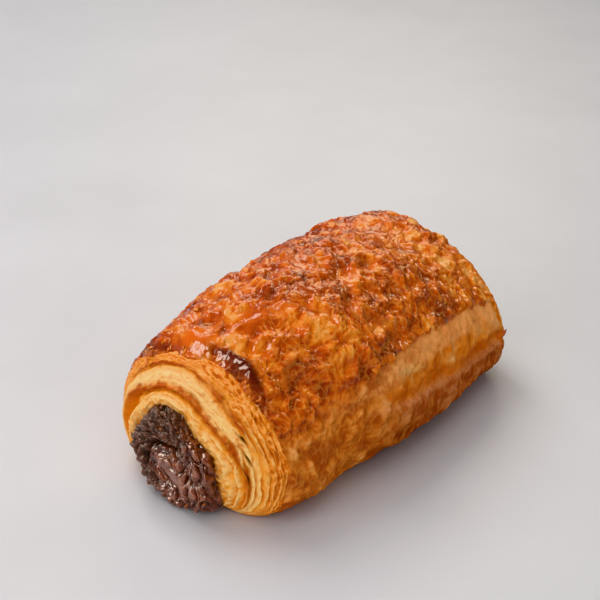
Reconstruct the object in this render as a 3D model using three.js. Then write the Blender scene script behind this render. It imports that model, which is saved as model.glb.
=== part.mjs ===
// Pain au chocolat: a rolled, egg-washed puff pastry that lies on its seam, with one run of
// melted chocolate showing at both open ends.
//
// Units are millimetres and +Z is up. The roll lies along Y, the open end that carries the
// larger lump of chocolate faces -Y, and the base of the roll is the plane Z = 0.
//
// Both solids are grids of points. One direction of a grid goes round the roll's axis by an
// angle: 0 is +X (the side with the seam flap), 90 the top, 180 the other side, 270 the base.

import * as THREE from "three";

// ---------------------------------------------------------------- driving dimensions
const DOUGH_LENGTH = 104.6;                              // end plane to end plane
const SEAM_SIDE_HALF_WIDTH = { near: 26.5, middle: 36.9, far: 35.6 };
const PLAIN_SIDE_HALF_WIDTH = { near: 27.4, middle: 33.8, far: 31.5 };
const CROWN_HEIGHT = { near: 39.5, middle: 50.0, far: 40.4 };
const AXIS_HEIGHT_SHARE = 0.341;                         // widest level, as a share of the height
const BASE_SPREAD = 2.0;                                 // how far the outline would sink below Z = 0
const CROWN_FULLNESS = 1.88;                             // outline exponent over the top
const BASE_FULLNESS = 2.87;                              // outline exponent under the widest level
const END_ROUNDING = 9.4;                                // how far the rounded ends set back, on top
const END_ROUNDING_AT_BASE = 0.45;                       // the same at the base, as a share of it
const END_BULGE = 2.5;                                   // inner turns telescoped out of each end
const BASE_RECESS = { at: 255, spread: 45, depth: 5.0 }; // turns drawn back under the chocolate
const CENTRING = { x: -1.96, y: 0.89 };                 // puts the part's box over the origin

// The chocolate channel: a lumpy oval about its own axis, pinched where the inner turn presses in.
const CHANNEL_AXIS = { x: -1.5, z: 12.0 };
const CHANNEL_REACH = { right: 14.3, left: 13.6, top: 16.4, bottom: 10.6 };
const CHANNEL_FULLNESS = { top: 2.0, bottom: 2.9 };
const CHANNEL_PINCHES = [
  { at: 57, spread: 18, depth: 2.6 },
  { at: 135, spread: 25, depth: 1.8 },
];
const CHOCOLATE_GAP = 0.45;                              // clearance between dough and chocolate

// Where the turns of dough meet on each end, as shares of the way from the wall to the channel.
const TURN_EDGES = {
  rim: { share: 0.19, swings: [{ at: 100, spread: 45, by: 0.16 }] },
  outer: { share: 0.5, swings: [{ at: 50, spread: 25, by: 0.08 }, { at: 200, spread: 40, by: -0.1 }] },
  inner: { share: 0.79, swings: [{ at: 155, spread: 38, by: -0.16 }, { at: 335, spread: 25, by: -0.12 }] },
};
// Each turn, from its channel side outward: a groove, a browned lip, a belly, and its outer edge.
const TURN_PROFILE = [
  { along: 0.0, rise: -1.0, of: "groove" },
  { along: 0.14, rise: 1.0, of: "lip" },
  { along: 0.34, rise: 0.15, of: "lip" },
  { along: 0.64, rise: 1.0, of: "belly" },
  { along: 0.88, rise: 0.2, of: "belly" },
];
const INNER_TURN = { groove: 0.0, lip: 0.9, belly: 1.2 };
const MIDDLE_TURN = { groove: 2.1, lip: 1.0, belly: 0.5 };
const OUTER_TURN = { groove: 0.9, lip: 0.6, belly: 0.4 };
const TURN_FADE = { from: 0.5, to: 6.0 };                // the turns flatten out towards the base plane
const POCKET = { at: 165, spread: 30, depth: 2.6 };      // the groove gapes on the plain side

// Relief of the baked skin.
const SWELLS = [                                         // broad waves: cycles along, cycles round
  { along: 1.5, round: 2, height: 0.8, phase: 0.4 },
  { along: 2.5, round: 3, height: 0.55, phase: 2.1 },
  { along: 3.5, round: 1, height: 0.45, phase: 4.0 },
];
const BLISTER_SIZE = 7.5;                                // spacing of the small raised blisters
const BLISTER_HEIGHT = 1.1;
const CRINKLE_SIZE = 3.4;                                // spacing of the fine crags between them
const CRINKLE_HEIGHT = 0.7;
const SKIN_BUBBLES = [                                   // single bubbles: place, size and height
  { along: -0.81, at: 97, length: 5, spread: 10, height: 1.3 },
  { along: -0.82, at: 62, length: 2.6, spread: 17, height: 1.4 },
  { along: -0.12, at: 88, length: 12, spread: 20, height: 1.2 },
];
const RELIEF_SINK = 0.9;                                 // ridge value that leaves the skin where it is
const RELIEF_FADE = { from: 1.0, to: 7.0 };              // relief dies out towards the base plane
// The seam flap's edge: its level and station near and far, and how far it stands proud below.
const SEAM_LINE = { near: { level: 23.0, station: -0.27 }, far: { level: 14.5, station: 0.85 }, bend: 1.3 };
const SEAM_FLAP = { proud: 1.1, softness: 1.1 };
const WASH_EDGE = { at: 26.0, farDrop: 6.0, proud: 0.5, softness: 2.0, near: -0.55 };

// The chocolate beyond the channel: a blunt drooping nose at each end.
const NOSE_START = 50.5;                                 // from mid length to where the nose begins
const NEAR_NOSE = { reach: 7.9, tip: { x: 3.4, z: 9.0 }, droop: 1.6 };
const FAR_NOSE = { reach: 6.0, tip: { x: -1.5, z: 11.0 }, droop: 1.0 };
const NOSE_BLUNTNESS = { top: 0.42, bottom: 0.44 };      // exponents: the smaller, the blunter
const SPILL = { at: 154, spread: 32, out: 3.6, from: 0.47, to: 0.7 };  // lobe lapping over the dough
const NOSE_CLEARANCE = 0.3;                              // lowest point of the noses above the base
const CREVICE = { along: 0.45, width: 0.11, at: 140, spread: 60, depth: 1.9 };
const LUMP_SIZE = 5.5;
const LUMP_HEIGHT = 1.1;

// Grid density.
const PASTRY_POINTS_ROUND = 88;
const WALL_ROWS = 24;
const RIM_SHARES = [0.0, 0.3, 0.6, 0.85];                // rows on the rounded corner, of the rim share
const CHANNEL_ROWS = 3;
const CHOCOLATE_POINTS_ROUND = 44;
const NOSE_ROWS = 12;
const NOSE_CROWDING = 1.6;                               // packs the rows of a nose towards its tip
const RUN_ROWS = 4;

const NOISE_GAIN = 1.3;                                  // brings the noise to about -1 to 1
const FULL_TURN = 2 * Math.PI;
const NEAR = -1;
const FAR = 1;

// ---------------------------------------------------------------- small helpers
const { smoothstep, lerp, radToDeg, euclideanModulo } = THREE.MathUtils;

/** A smooth bump over the angle round the roll: 1 at its middle, dying away on both sides. */
function angularBump(angle, at, spread) {
  const apart = euclideanModulo(radToDeg(angle) - at + 180, 360) - 180;
  return Math.exp(-((apart / spread) ** 2));
}

/** A size given near, middle and far, at a station from -1 to 1: it changes with its square. */
function alongRoll(size, station) {
  const end = station < 0 ? size.near : size.far;
  return lerp(size.middle, end, station ** 2);
}

/** Radius of an oval whose four reaches differ, blended from one quadrant to the next. */
function ovalRadius(angle, reach, fullness) {
  const rightness = smoothstep(Math.cos(angle), -0.5, 0.5);
  const topness = smoothstep(Math.sin(angle), -0.35, 0.35);
  const across = lerp(reach.left, reach.right, rightness);
  const upward = lerp(reach.bottom, reach.top, topness);
  const power = lerp(fullness.bottom, fullness.top, topness);
  const sum = Math.abs(Math.cos(angle) / across) ** power + Math.abs(Math.sin(angle) / upward) ** power;
  return sum ** (-1 / power);
}

/** Scrambles the whole numbers of a lattice point into 32 bits, by odd factors and shifts. */
function scrambled(x, y, z, seed) {
  let hash = Math.imul(x, 374761393) + Math.imul(y, 668265263) + Math.imul(z, 1442695041);
  hash = (hash + Math.imul(seed, 362437)) | 0;
  hash = Math.imul(hash ^ (hash >>> 13), 1274126177);
  hash = Math.imul(hash ^ (hash >>> 15), 2246822519);
  return (hash ^ (hash >>> 16)) >>> 0;
}

/** Smooth noise, about -1 to 1: scrambled slopes at the corners of cubes, blended by quintic curves. */
function gradientNoise(point, size, seed) {
  const place = [point.x / size, point.y / size, point.z / size];
  const cell = place.map(Math.floor);
  const part = place.map((value, axis) => value - cell[axis]);
  const ease = part.map((t) => t * t * t * (t * (t * 6 - 15) + 10));
  let total = 0;
  for (let corner = 0; corner < 8; corner++) {
    const step = [corner & 1, (corner >> 1) & 1, corner >> 2];
    const hash = scrambled(cell[0] + step[0], cell[1] + step[1], cell[2] + step[2], seed);
    let slope = 0;
    let weight = 1;
    for (let axis = 0; axis < 3; axis++) {
      slope += (((hash >>> (10 * axis)) & 1023) / 511.5 - 1) * (part[axis] - step[axis]);
      weight *= Math.abs(1 - step[axis] - ease[axis]);
    }
    total += slope * weight;
  }
  return NOISE_GAIN * total;
}

/** Ridged noise: sharp crests and round hollows, up to 1, at a point given in millimetres. */
function ridges(point, size, seed) {
  return 1 - 2 * Math.abs(gradientNoise(point, size, seed));
}

// ---------------------------------------------------------------- outlines of the roll
/** Outline of the dough's skin across the roll at a station, cut flat at the base. */
function skinOutline(station, angle) {
  const height = alongRoll(CROWN_HEIGHT, station);
  const axisHeight = AXIS_HEIGHT_SHARE * height;
  const reach = {
    right: alongRoll(SEAM_SIDE_HALF_WIDTH, station),
    left: alongRoll(PLAIN_SIDE_HALF_WIDTH, station),
    top: height - axisHeight,
    bottom: axisHeight + BASE_SPREAD,
  };
  const radius = ovalRadius(angle, reach, { top: CROWN_FULLNESS, bottom: BASE_FULLNESS });
  return {
    x: radius * Math.cos(angle),
    z: Math.max(axisHeight + radius * Math.sin(angle), 0),
  };
}

/** Outline of the chocolate channel, grown outward by a margin. */
function channelOutline(angle, margin) {
  let radius = ovalRadius(angle, CHANNEL_REACH, CHANNEL_FULLNESS) + margin;
  for (const pinch of CHANNEL_PINCHES) {
    radius -= pinch.depth * angularBump(angle, pinch.at, pinch.spread);
  }
  return {
    x: CHANNEL_AXIS.x + radius * Math.cos(angle),
    z: CHANNEL_AXIS.z + radius * Math.sin(angle),
  };
}

/** How far the rounded end sets back from the end plane, which is less towards the base. */
function endSetback(angle) {
  const topness = smoothstep(Math.sin(angle), -0.8, 0.3);
  return END_ROUNDING * lerp(END_ROUNDING_AT_BASE, 1, topness);
}

/** Distance from mid length to the end plane; under the chocolate the dough is drawn back. */
function endPlane(angle) {
  return DOUGH_LENGTH / 2 - BASE_RECESS.depth * angularBump(angle, BASE_RECESS.at, BASE_RECESS.spread);
}

// ---------------------------------------------------------------- relief of the skin
/** Relief of the baked skin at a point of the wall or rim. */
function skinRelief(point, angle) {
  const station = point.y / (DOUGH_LENGTH / 2);
  let relief = 0;
  for (const swell of SWELLS) {
    relief += swell.height * Math.sin(Math.PI * swell.along * station + swell.round * angle + swell.phase);
  }
  relief += BLISTER_HEIGHT * (ridges(point, BLISTER_SIZE, 1) - RELIEF_SINK);
  relief += CRINKLE_HEIGHT * (ridges(point, CRINKLE_SIZE, 2) - RELIEF_SINK);
  for (const bubble of SKIN_BUBBLES) {
    const away = (point.y - (bubble.along * DOUGH_LENGTH) / 2) / bubble.length;
    relief += bubble.height * Math.exp(-(away ** 2)) * angularBump(angle, bubble.at, bubble.spread);
  }
  return relief * smoothstep(point.z, RELIEF_FADE.from, RELIEF_FADE.to);
}

/** Relief of the seam side: the flap below the seam stands proud, and so does the washed skin. */
function seamRelief(point, angle) {
  const station = point.y / (DOUGH_LENGTH / 2);
  const { near, far, bend } = SEAM_LINE;
  const toNear = Math.max((far.station - station) / (far.station - near.station), 0);
  const level = lerp(far.level, near.level, Math.min(toNear, 1) ** bend);
  const below = smoothstep(level - point.z, -SEAM_FLAP.softness, SEAM_FLAP.softness);
  const flap = SEAM_FLAP.proud * below * smoothstep(station, near.station - 0.2, near.station + 0.2);
  const edge = WASH_EDGE.at - WASH_EDGE.farDrop * Math.max(station, 0) ** 2;
  const upward = euclideanModulo(radToDeg(angle) + 180, 360) - 180;
  const washed = smoothstep(upward - edge, -WASH_EDGE.softness, WASH_EDGE.softness);
  const crust = WASH_EDGE.proud * washed * smoothstep(station, WASH_EDGE.near, WASH_EDGE.near + 0.3);
  return flap * smoothstep(Math.cos(angle), 0.3, 0.8) + crust * smoothstep(Math.cos(angle), 0.1, 0.8);
}

// ---------------------------------------------------------------- points of the dough
/** Point of the wall; step runs from -1 to 1 between the two rounded ends. */
function wallPoint(step, angle) {
  const y = step * (endPlane(angle) - endSetback(angle));
  const skin = skinOutline(y / (DOUGH_LENGTH / 2), angle);
  const point = new THREE.Vector3(skin.x, y, skin.z);
  const relief = skinRelief(point, angle) + seamRelief(point, angle);
  point.x += relief * Math.cos(angle);
  point.z = Math.max(point.z + relief * Math.sin(angle), 0);
  return point;
}

/** Point of a rounded end; share runs from 0 at the wall to 1 at the channel's mouth. */
function endPoint(end, share, angle, turnRise) {
  const tilt = (share * Math.PI) / 2;
  const inward = 1 - Math.cos(tilt);
  const y = endPlane(angle) - endSetback(angle) * (1 - Math.sin(tilt));
  const skin = skinOutline((end * y) / (DOUGH_LENGTH / 2), angle);
  const mouth = channelOutline(angle, 0);
  const bulge = END_BULGE * smoothstep(Math.sin(angle), -0.8, 0) * inward ** 2;
  const [x, z] = [lerp(skin.x, mouth.x, inward), lerp(skin.z, mouth.z, inward)];
  const point = new THREE.Vector3(x, end * (y + bulge), z);
  const baked = 1 - smoothstep(share, 0.1, 0.3);
  const skinRise = (skinRelief(point, angle) + seamRelief(point, angle)) * baked;
  const rise = skinRise + turnRise * smoothstep(point.z, TURN_FADE.from, TURN_FADE.to);
  point.x += rise * Math.cos(tilt) * Math.cos(angle);
  point.y += rise * Math.sin(tilt) * end;
  point.z = Math.max(point.z + rise * Math.cos(tilt) * Math.sin(angle), 0);
  return point;
}

/** Share at which one turn of dough meets the next, at an angle. */
function turnEdge(edge, angle) {
  let share = edge.share;
  for (const swing of edge.swings) share += swing.by * angularBump(angle, swing.at, swing.spread);
  return share;
}

/** Rows of points over one end, from the channel's mouth out to the wall. */
function endRows(end) {
  const mouth = () => 1;
  const wall = () => 0;
  const inner = (angle) => turnEdge(TURN_EDGES.inner, angle);
  const outer = (angle) => turnEdge(TURN_EDGES.outer, angle);
  const rim = (angle) => turnEdge(TURN_EDGES.rim, angle);
  const turns = [
    { from: mouth, to: inner, shape: INNER_TURN },
    { from: inner, to: outer, shape: MIDDLE_TURN },
    { from: outer, to: rim, shape: OUTER_TURN },
  ];
  const rows = [];
  for (const { from, to, shape } of turns) {
    for (const stop of TURN_PROFILE) {
      rows.push((angle) => {
        const gape = shape === MIDDLE_TURN ? POCKET.depth * angularBump(angle, POCKET.at, POCKET.spread) : 0;
        const size = stop.of === "groove" ? shape.groove + gape : shape[stop.of];
        return endPoint(end, lerp(from(angle), to(angle), stop.along), angle, stop.rise * size);
      });
    }
  }
  for (const share of [...RIM_SHARES].reverse()) {
    rows.push((angle) => endPoint(end, lerp(wall(angle), rim(angle), share), angle, 0));
  }
  return rows;
}

// ---------------------------------------------------------------- grids and solids
/** A closed tube of rows, each a ring of points; the last row joins the first one. */
function ringGrid(rows, pointsRound) {
  const positions = [];
  const faces = [];
  for (const row of rows) {
    for (let i = 0; i < pointsRound; i++) positions.push(...row((i / pointsRound) * FULL_TURN).toArray());
  }
  for (let r = 0; r < rows.length; r++) {
    const next = (r + 1) % rows.length;
    for (let i = 0; i < pointsRound; i++) {
      const j = (i + 1) % pointsRound;
      const [a, b] = [r * pointsRound + i, r * pointsRound + j];
      const [c, d] = [next * pointsRound + j, next * pointsRound + i];
      faces.push(a, c, b, a, d, c);
    }
  }
  return { positions, faces };
}

/** An indexed geometry with its normals. */
function geometryOf({ positions, faces }) {
  const geometry = new THREE.BufferGeometry();
  geometry.setAttribute("position", new THREE.Float32BufferAttribute(positions, 3));
  geometry.setIndex(faces);
  geometry.computeVertexNormals();
  return geometry;
}

/** The dough: out over the near end, along the wall, in over the far end, back down the channel. */
function pastryGeometry() {
  const rows = [...endRows(NEAR)];
  for (let i = 1; i < WALL_ROWS; i++) {
    rows.push((angle) => wallPoint(-1 + (2 * i) / WALL_ROWS, angle));
  }
  rows.push(...endRows(FAR).reverse());
  for (let i = 1; i <= CHANNEL_ROWS; i++) {
    const step = 1 - (2 * i) / (CHANNEL_ROWS + 1);
    rows.push((angle) => {
      const mouth = channelOutline(angle, 0);
      return new THREE.Vector3(mouth.x, step * endPlane(angle), mouth.z);
    });
  }
  return geometryOf(ringGrid(rows, PASTRY_POINTS_ROUND));
}

/** Point of a chocolate nose; step runs from 0 in the channel's mouth to 1 at the tip. */
function nosePoint(end, nose, step, angle) {
  const tilt = (step * Math.PI) / 2;
  const lowness = smoothstep(-Math.sin(angle), -0.4, 1);
  const width = Math.cos(tilt) ** lerp(NOSE_BLUNTNESS.top, NOSE_BLUNTNESS.bottom, lowness);
  const mouth = channelOutline(angle, -CHOCOLATE_GAP);
  const drift = smoothstep(step, 0.25, 1);
  const axis = { x: lerp(CHANNEL_AXIS.x, nose.tip.x, drift), z: lerp(CHANNEL_AXIS.z, nose.tip.z, drift) };
  const sag = nose.droop * smoothstep(step, 0.12, 0.6) * lowness;
  const point = new THREE.Vector3(
    axis.x + (mouth.x - CHANNEL_AXIS.x) * width,
    end * (NOSE_START + nose.reach * Math.sin(tilt)),
    axis.z + (mouth.z - CHANNEL_AXIS.z) * width - sag,
  );
  const across = Math.exp(-(((step - CREVICE.along) / CREVICE.width) ** 2));
  const dent = CREVICE.depth * across * angularBump(angle, CREVICE.at, CREVICE.spread);
  const lumps = LUMP_HEIGHT * gradientNoise(point, LUMP_SIZE, 3) * smoothstep(step, 0.1, 0.4);
  const beyond = smoothstep(step, 0.45, 0.8);
  const rise = Math.min(lumps, 0) + Math.max(lumps, 0) * beyond - dent;
  const spill = end === NEAR ? SPILL.out * angularBump(angle, SPILL.at, SPILL.spread) : 0;
  const outward = rise * Math.cos(tilt) + spill * smoothstep(step, SPILL.from, SPILL.to);
  point.x += outward * Math.cos(angle) * Math.min(1, 4 * width - 1);
  point.y += rise * Math.sin(tilt) * end;
  point.z = Math.max(point.z + outward * Math.sin(angle), NOSE_CLEARANCE);
  return point;
}

/** The chocolate: one run through the channel, closed by a nose at each end. */
function chocolateGeometry() {
  const rings = [];
  const stepOf = (row) => 1 - (1 - row / NOSE_ROWS) ** NOSE_CROWDING;
  for (let i = NOSE_ROWS - 1; i >= 0; i--) {
    rings.push((angle) => nosePoint(NEAR, NEAR_NOSE, stepOf(i), angle));
  }
  for (let i = 1; i < RUN_ROWS; i++) {
    rings.push((angle) => {
      const mouth = channelOutline(angle, -CHOCOLATE_GAP);
      return new THREE.Vector3(mouth.x, lerp(-NOSE_START, NOSE_START, i / RUN_ROWS), mouth.z);
    });
  }
  for (let i = 0; i < NOSE_ROWS; i++) {
    rings.push((angle) => nosePoint(FAR, FAR_NOSE, stepOf(i), angle));
  }
  const grid = ringGrid(rings, CHOCOLATE_POINTS_ROUND);
  const joinBack = 6 * CHOCOLATE_POINTS_ROUND;
  grid.faces.length -= joinBack;
  closeWithTip(grid, 0, tipOf(NEAR, NEAR_NOSE), true);
  closeWithTip(grid, rings.length - 1, tipOf(FAR, FAR_NOSE), false);
  return geometryOf(grid);
}

/** The point at the very end of a nose. */
function tipOf(end, nose) {
  return [nose.tip.x, end * (NOSE_START + nose.reach), nose.tip.z];
}

/** Closes one end row of a grid with a fan of triangles to a tip. */
function closeWithTip(grid, row, tip, isFirst) {
  const tipIndex = grid.positions.length / 3;
  grid.positions.push(...tip);
  for (let i = 0; i < CHOCOLATE_POINTS_ROUND; i++) {
    const a = row * CHOCOLATE_POINTS_ROUND + i;
    const b = row * CHOCOLATE_POINTS_ROUND + ((i + 1) % CHOCOLATE_POINTS_ROUND);
    grid.faces.push(...(isFirst ? [tipIndex, a, b] : [tipIndex, b, a]));
  }
}

// ---------------------------------------------------------------- the object
const CRUST = new THREE.MeshStandardMaterial({ color: 0xb9611d, roughness: 0.45, metalness: 0 });
const CHOCOLATE = new THREE.MeshStandardMaterial({ color: 0x35211b, roughness: 0.4, metalness: 0 });

const pastry = new THREE.Mesh(pastryGeometry(), CRUST);
pastry.name = "pastry";

const chocolate = new THREE.Mesh(chocolateGeometry(), CHOCOLATE);
chocolate.name = "chocolate";

const painAuChocolat = new THREE.Group();
painAuChocolat.add(pastry, chocolate);
painAuChocolat.position.set(CENTRING.x, CENTRING.y, 0);

export default painAuChocolat;
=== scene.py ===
"""Pain au chocolat: the looks of a rolled, egg-washed puff pastry with melted chocolate at both ends.

The roll lies along Y on its flat base, +Z is up, and shapes are worked out in millimetres. Surfaces are
grids of points: one direction goes round the roll by an angle (0 is +X, 90 the top, 180 -X, 270 the base).
"""

import bpy
import numpy as np
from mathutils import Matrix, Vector


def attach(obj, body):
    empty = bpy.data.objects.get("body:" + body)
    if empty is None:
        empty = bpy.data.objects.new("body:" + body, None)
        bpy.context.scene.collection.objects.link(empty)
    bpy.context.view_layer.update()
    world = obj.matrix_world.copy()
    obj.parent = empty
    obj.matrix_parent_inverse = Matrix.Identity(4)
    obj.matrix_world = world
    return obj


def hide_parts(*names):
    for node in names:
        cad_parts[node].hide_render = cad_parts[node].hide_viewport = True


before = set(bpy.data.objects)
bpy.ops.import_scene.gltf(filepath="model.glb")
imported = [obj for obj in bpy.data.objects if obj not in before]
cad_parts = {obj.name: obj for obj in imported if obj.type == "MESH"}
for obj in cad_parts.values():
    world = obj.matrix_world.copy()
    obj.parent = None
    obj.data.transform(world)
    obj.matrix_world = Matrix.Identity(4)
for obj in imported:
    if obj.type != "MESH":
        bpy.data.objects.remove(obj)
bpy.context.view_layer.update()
MM = 0.001

# ------------------------------------------------------------------ sizes of the roll, in millimetres
DOUGH_LENGTH = 104.6
HALF_LENGTH = DOUGH_LENGTH / 2
SEAM_SIDE_HALF_WIDTH = dict(near=26.5, middle=36.9, far=35.6)
PLAIN_SIDE_HALF_WIDTH = dict(near=27.4, middle=33.8, far=31.5)
CROWN_HEIGHT = dict(near=39.5, middle=50.0, far=40.4)
AXIS_HEIGHT_SHARE = 0.341
BASE_SPREAD = 2.0
CROWN_FULLNESS = 1.88
BASE_FULLNESS = 2.87
END_ROUNDING = 9.4
END_ROUNDING_AT_BASE = 0.45
END_BULGE = 2.5
BASE_RECESS = (255, 45, 5.0)                             # at, spread, depth
CENTRING = np.array([-1.96, 0.89, 0.0])

CHANNEL_AXIS = (-1.5, 12.0)
CHANNEL_REACH = dict(right=14.3, left=13.6, top=16.4, bottom=10.6)
CHANNEL_FULLNESS = dict(top=2.0, bottom=2.9)
CHANNEL_PINCHES = [(57, 18, 2.6), (135, 25, 1.8)]        # at, spread, depth
CHOCOLATE_GAP = 0.45

# Where the turns meet on an end, as shares of the way from the wall to the channel: share, swings.
RIM_EDGE = (0.19, [(100, 45, 0.16)])
OUTER_EDGE = (0.47, [(50, 25, 0.08), (200, 40, -0.1)])
INNER_EDGE = (0.79, [(168, 35, -0.22), (335, 25, -0.12), (8, 18, -0.09)])

SWELLS = [(1.5, 2, 0.8, 0.4), (2.5, 3, 0.55, 2.1), (3.5, 1, 0.45, 4.0)]   # along, round, height, phase
BLISTER_SIZE, BLISTER_HEIGHT = 7.5, 1.1
CRINKLE_SIZE, CRINKLE_HEIGHT = 3.4, 0.7
# Single bubbles of the skin: station, angle, half length, spread, height.
SKIN_BUBBLES = [(-0.81, 97, 5, 10, 1.3), (-0.82, 62, 2.6, 17, 1.4), (-0.12, 88, 12, 20, 1.2)]
RELIEF_SINK = 0.9
RELIEF_FADE = (1.0, 7.0)                                 # heights at which relief starts and is full
TURN_FADE = (0.5, 6.0)

NOSE_START = 50.5
MOUTH_FILL = 1.1                                         # the chocolate presses this much against the dough
NOSE_SHOULDER = 4.0                                      # the nose stands this much fuller at the mouth
NEAR_NOSE = dict(reach=7.9, tip=(3.4, 9.0), droop=1.6)
FAR_NOSE = dict(reach=6.0, tip=(-1.5, 11.0), droop=1.0)
NOSE_BLUNTNESS = dict(top=0.42, bottom=0.44)
SPILLS = [                                               # where the near chocolate runs over the dough
    dict(at=154, spread=32, out=3.6, rises=(0.47, 0.7), falls=(1.5, 2.0)),
    dict(at=324, spread=24, out=3.2, rises=(-0.1, 0.1), falls=(0.15, 0.5)),
]
NOSE_CLEARANCE = 0.3

NEAR, FAR = -1, 1


# ------------------------------------------------------------------ numbers and noise
def smoothstep(x, low, high):
    """0 below low, 1 above high, and a cubic with level ends between."""
    t = np.clip((x - low) / (high - low), 0, 1)
    return t * t * (3 - 2 * t)


def lerp(a, b, t):
    """The value t of the way from a to b."""
    return a + (b - a) * t


def bell(x, width, power=2):
    """A bell curve: 1 at zero, falling off as the exponential of -(x / width) to an even power."""
    return np.exp(-((x / width) ** power))


def signed_degrees(angle):
    """The angle in degrees from -180 to 180."""
    return (np.degrees(angle) + 180) % 360 - 180


def angular_bump(angle, at, spread):
    """A bell curve of the angle's distance from `at`, both ways round, with its width in degrees."""
    return bell((np.degrees(angle) - at + 180) % 360 - 180, spread)


def scrambled(ix, iy, iz, seed):
    """A 32-bit hash of whole-number lattice points: products with odd constants, shifted and mixed."""
    h = (ix * 374761393 + iy * 668265263 + iz * 1442695041 + seed * 362437) & 0xFFFFFFFF
    h = ((h ^ (h >> 13)) * 1274126177) & 0xFFFFFFFF
    h = ((h ^ (h >> 15)) * 2246822519) & 0xFFFFFFFF
    return h ^ (h >> 16)


def three_parts(h):
    """Three numbers from 0 to 1, each made of ten bits of a hash."""
    return [((h >> shift) & 1023) / 1023 for shift in (0, 10, 20)]


def sloped(h, away):
    """Height of a tilted plane: the way from its centre times three slopes, -1 to 1, from a hash."""
    return sum((2 * part - 1) * by for part, by in zip(three_parts(h), away))


def gradient_noise(points, size, seed=0):
    """Smooth noise, about -1 to 1: hashed slopes at the corners of cubes of `size`, blended by quintics."""
    p = points / size
    cell = np.floor(p)
    f = p - cell
    cell = cell.astype(np.int64)
    w = f * f * f * (f * (f * 6 - 15) + 10)
    total = np.zeros(p.shape[:-1])
    for corner in np.ndindex(2, 2, 2):
        h = scrambled(*(cell[..., k] + corner[k] for k in range(3)), seed)
        value = sloped(h, [f[..., k] - corner[k] for k in range(3)])
        for k in range(3):
            value = value * np.abs((1 - corner[k]) - w[..., k])
        total += value
    return total * 1.3


def cloud(points, size, octaves=3, seed=0):
    """Layers of gradient noise, each half as large and half as strong as the one before."""
    return sum(gradient_noise(points, size / 2**k, seed + 17 * k) / 2**k for k in range(octaves))


def ridges(points, size, seed=0):
    """Ridged noise up to 1: one less twice the noise without its sign, so zero lines are sharp crests."""
    return 1 - 2 * np.abs(gradient_noise(points, size, seed))


def billows(points, size, seed=0, softness=0.003):
    """Puffed noise, about 0 to 1: the root of the noise without its sign, so zero lines are creases."""
    return np.sqrt(np.abs(gradient_noise(points, size, seed)) + softness)


def warped(points, size, amount, seed=0):
    """The points moved about by three smooth noises, up to `amount`."""
    shift = [gradient_noise(points, size, seed + k) for k in (1, 2, 3)]
    return points + amount * np.stack(shift, -1)


def drawn_out(points, *scales):
    """The points with each axis scaled, so that noise on them is long where a scale is small."""
    return points * np.array(scales)


def plates(points, size, seed=0, crisp=9.0):
    """Crumpled plates: the space is split round scattered centres, and each plate is tilted its own way.

    Returns the tilt height, a value of its own for each plate, and the closeness to a plate's border, 0 to
    1. The nearest centres are blended by weights that fall off as exp(-crisp x distance squared).
    """
    p = points / size
    cell = np.floor(p).astype(np.int64)
    height, value, weights, strongest = (np.zeros(p.shape[:-1]) for _ in range(4))
    for step in np.ndindex(3, 3, 3):
        corner = [cell[..., k] + step[k] - 1 for k in range(3)]
        g = scrambled(*corner, seed + 91)
        centre = three_parts(scrambled(*corner, seed))
        away = [p[..., k] - corner[k] - centre[k] for k in range(3)]
        weight = np.exp(-crisp * sum(part**2 for part in away))
        height += weight * sloped(g, away)
        value += weight * ((g >> 5) & 255) / 255
        weights += weight
        strongest = np.maximum(strongest, weight)
    weights = np.maximum(weights, 1e-12)
    return height / weights, value / weights, smoothstep(1 - strongest / weights, 0.15, 0.55)


def terraces(field, steepness=0.22):
    """Steps of height 1 in a smooth field: level treads, with each rise squeezed into a share of the step."""
    step = np.floor(field)
    return step + smoothstep(field - step, 1 - steepness, 1.0)


# ------------------------------------------------------------------ outlines of the roll
def along_roll(size, station):
    """A size given near, middle and far, changing with the square of the station from -1 to 1."""
    end = np.where(station < 0, size["near"], size["far"])
    return lerp(size["middle"], end, station**2)


def oval_radius(angle, right, left, top, bottom, top_power, bottom_power):
    """Radius of an oval with four reaches: a superellipse whose reach and power blend by quadrant."""
    c, s = np.cos(angle), np.sin(angle)
    across = lerp(left, right, smoothstep(c, -0.5, 0.5))
    topness = smoothstep(s, -0.35, 0.35)
    upward = lerp(bottom, top, topness)
    power = lerp(bottom_power, top_power, topness)
    return (np.abs(c / across) ** power + np.abs(s / upward) ** power) ** (-1 / power)


def skin_outline(station, angle):
    """x and z of the dough's skin across the roll: the oval about its axis height, cut flat at the base."""
    height = along_roll(CROWN_HEIGHT, station)
    axis = AXIS_HEIGHT_SHARE * height
    radius = oval_radius(
        angle, along_roll(SEAM_SIDE_HALF_WIDTH, station), along_roll(PLAIN_SIDE_HALF_WIDTH, station),
        height - axis, axis + BASE_SPREAD, CROWN_FULLNESS, BASE_FULLNESS,
    )
    return radius * np.cos(angle), np.maximum(axis + radius * np.sin(angle), 0)


def channel_outline(angle, margin=0.0):
    """x and z of the chocolate channel: an oval less a bell-shaped pinch at two angles, grown by a margin."""
    radius = margin + oval_radius(angle, **CHANNEL_REACH, top_power=CHANNEL_FULLNESS["top"],
                                  bottom_power=CHANNEL_FULLNESS["bottom"])
    for at, spread, depth in CHANNEL_PINCHES:
        radius = radius - depth * angular_bump(angle, at, spread)
    return CHANNEL_AXIS[0] + radius * np.cos(angle), CHANNEL_AXIS[1] + radius * np.sin(angle)


def end_setback(angle):
    """How far the rounded end sets back from the end plane: full on top, less towards the base."""
    return END_ROUNDING * lerp(END_ROUNDING_AT_BASE, 1, smoothstep(np.sin(angle), -0.8, 0.3))


def end_plane(angle):
    """Distance from mid length to the end plane, drawn back at the base."""
    at, spread, depth = BASE_RECESS
    return HALF_LENGTH - depth * angular_bump(angle, at, spread)


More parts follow.
